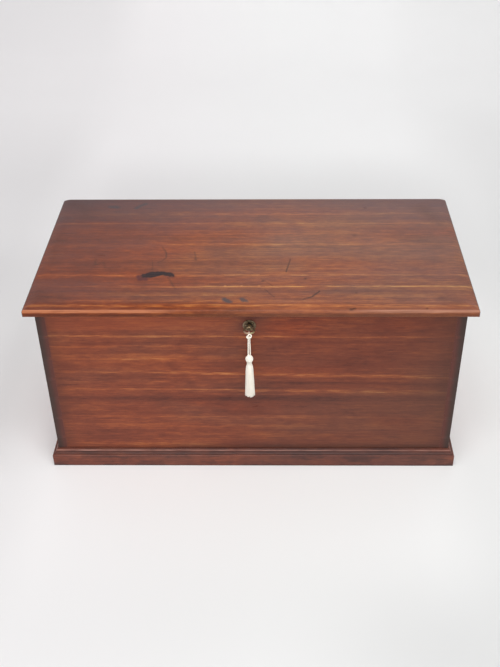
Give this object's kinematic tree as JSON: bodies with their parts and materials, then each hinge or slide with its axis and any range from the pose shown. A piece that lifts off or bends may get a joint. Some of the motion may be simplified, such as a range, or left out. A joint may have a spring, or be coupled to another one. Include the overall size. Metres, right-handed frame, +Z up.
{
  "type": "blanket chest",
  "caption": "Dovetailed wooden blanket chest on a moulded plinth, with a hinged lid, a box lock with its key, and a tassel hanging from the key.",
  "frame": {"origin": "on the floor, under the middle of the case", "axes": "+X to the right along the chest, +Y to the back, +Z up; the front faces -Y"},
  "size_m": [0.94, 0.5113, 0.445],
  "materials": {
    "mahogany": "waxed",
    "pine": "planed",
    "brass": "aged",
    "key_brass": "worn",
    "steel": "dull",
    "ivory_thread": "soft twisted thread"
  },
  "bodies": {
    "case": {"front_board": "mahogany", "back_board": "mahogany", "left_end_board": "mahogany", "right_end_board": "mahogany", "bottom_board_front": "pine", "bottom_board_middle": "pine", "bottom_board_back": "pine", "bottom_nails": "steel", "plinth_front": "mahogany", "plinth_left": "mahogany", "plinth_right": "mahogany", "left_hinge_case_leaf": "brass", "right_hinge_case_leaf": "brass", "left_hinge_pin": "brass", "right_hinge_pin": "brass", "case_hinge_screws": "steel", "lock_plate": "brass", "lock_cap": "brass", "lock_ward": "brass", "lock_screws": "steel", "escutcheon": "brass", "escutcheon_pins": "brass"},
    "lid": {"lid_board": "mahogany", "left_hinge_lid_leaf": "brass", "right_hinge_lid_leaf": "brass", "lid_hinge_screws": "steel", "link_plate": "brass", "link_plate_screws": "steel"},
    "key": {"key": "key_brass", "tassel_hitch": "ivory_thread"},
    "bolt": {"lock_bolt": "steel"},
    "knot": {"tassel_knot": "ivory_thread"},
    "tassel": {"cord_left": "ivory_thread", "cord_right": "ivory_thread", "tassel_head": "ivory_thread", "tassel_neck": "ivory_thread", "tassel_skirt": "ivory_thread"}
  },
  "joints": [
    {"name": "lid_hinge", "type": "hinge", "parent": "case", "child": "lid", "pos_m": [0, 0.223, 0.425], "axis": [-1, 0, 0], "range_deg": [0, 104]},
    {"name": "key_turn", "type": "hinge", "parent": "case", "child": "key", "pos_m": [-0.0028, -0.219, 0.393], "axis": [0, 1, 0], "range_deg": [-90, 270]},
    {"name": "bolt_slide", "type": "slide", "parent": "case", "child": "bolt", "axis": [1, 0, 0], "range_m": [-0.00251, 0.00751]},
    {"name": "knot_turn", "type": "hinge", "parent": "key", "child": "knot", "pos_m": [-0.0028, -0.2615, 0.393], "axis": [0, 1, 0], "range_deg": [-270, 90]},
    {"name": "tassel_swing", "type": "hinge", "parent": "knot", "child": "tassel", "pos_m": [-0.0028, -0.2615, 0.393], "axis": [-1, 0, 0], "range_deg": [-10, 80]}
  ],
  "couplings": [
    {"joint": "bolt_slide", "follows": "key_turn", "m_per_rad": 0.0015915},
    {"joint": "knot_turn", "follows": "key_turn", "ratio": -1}
  ]
}
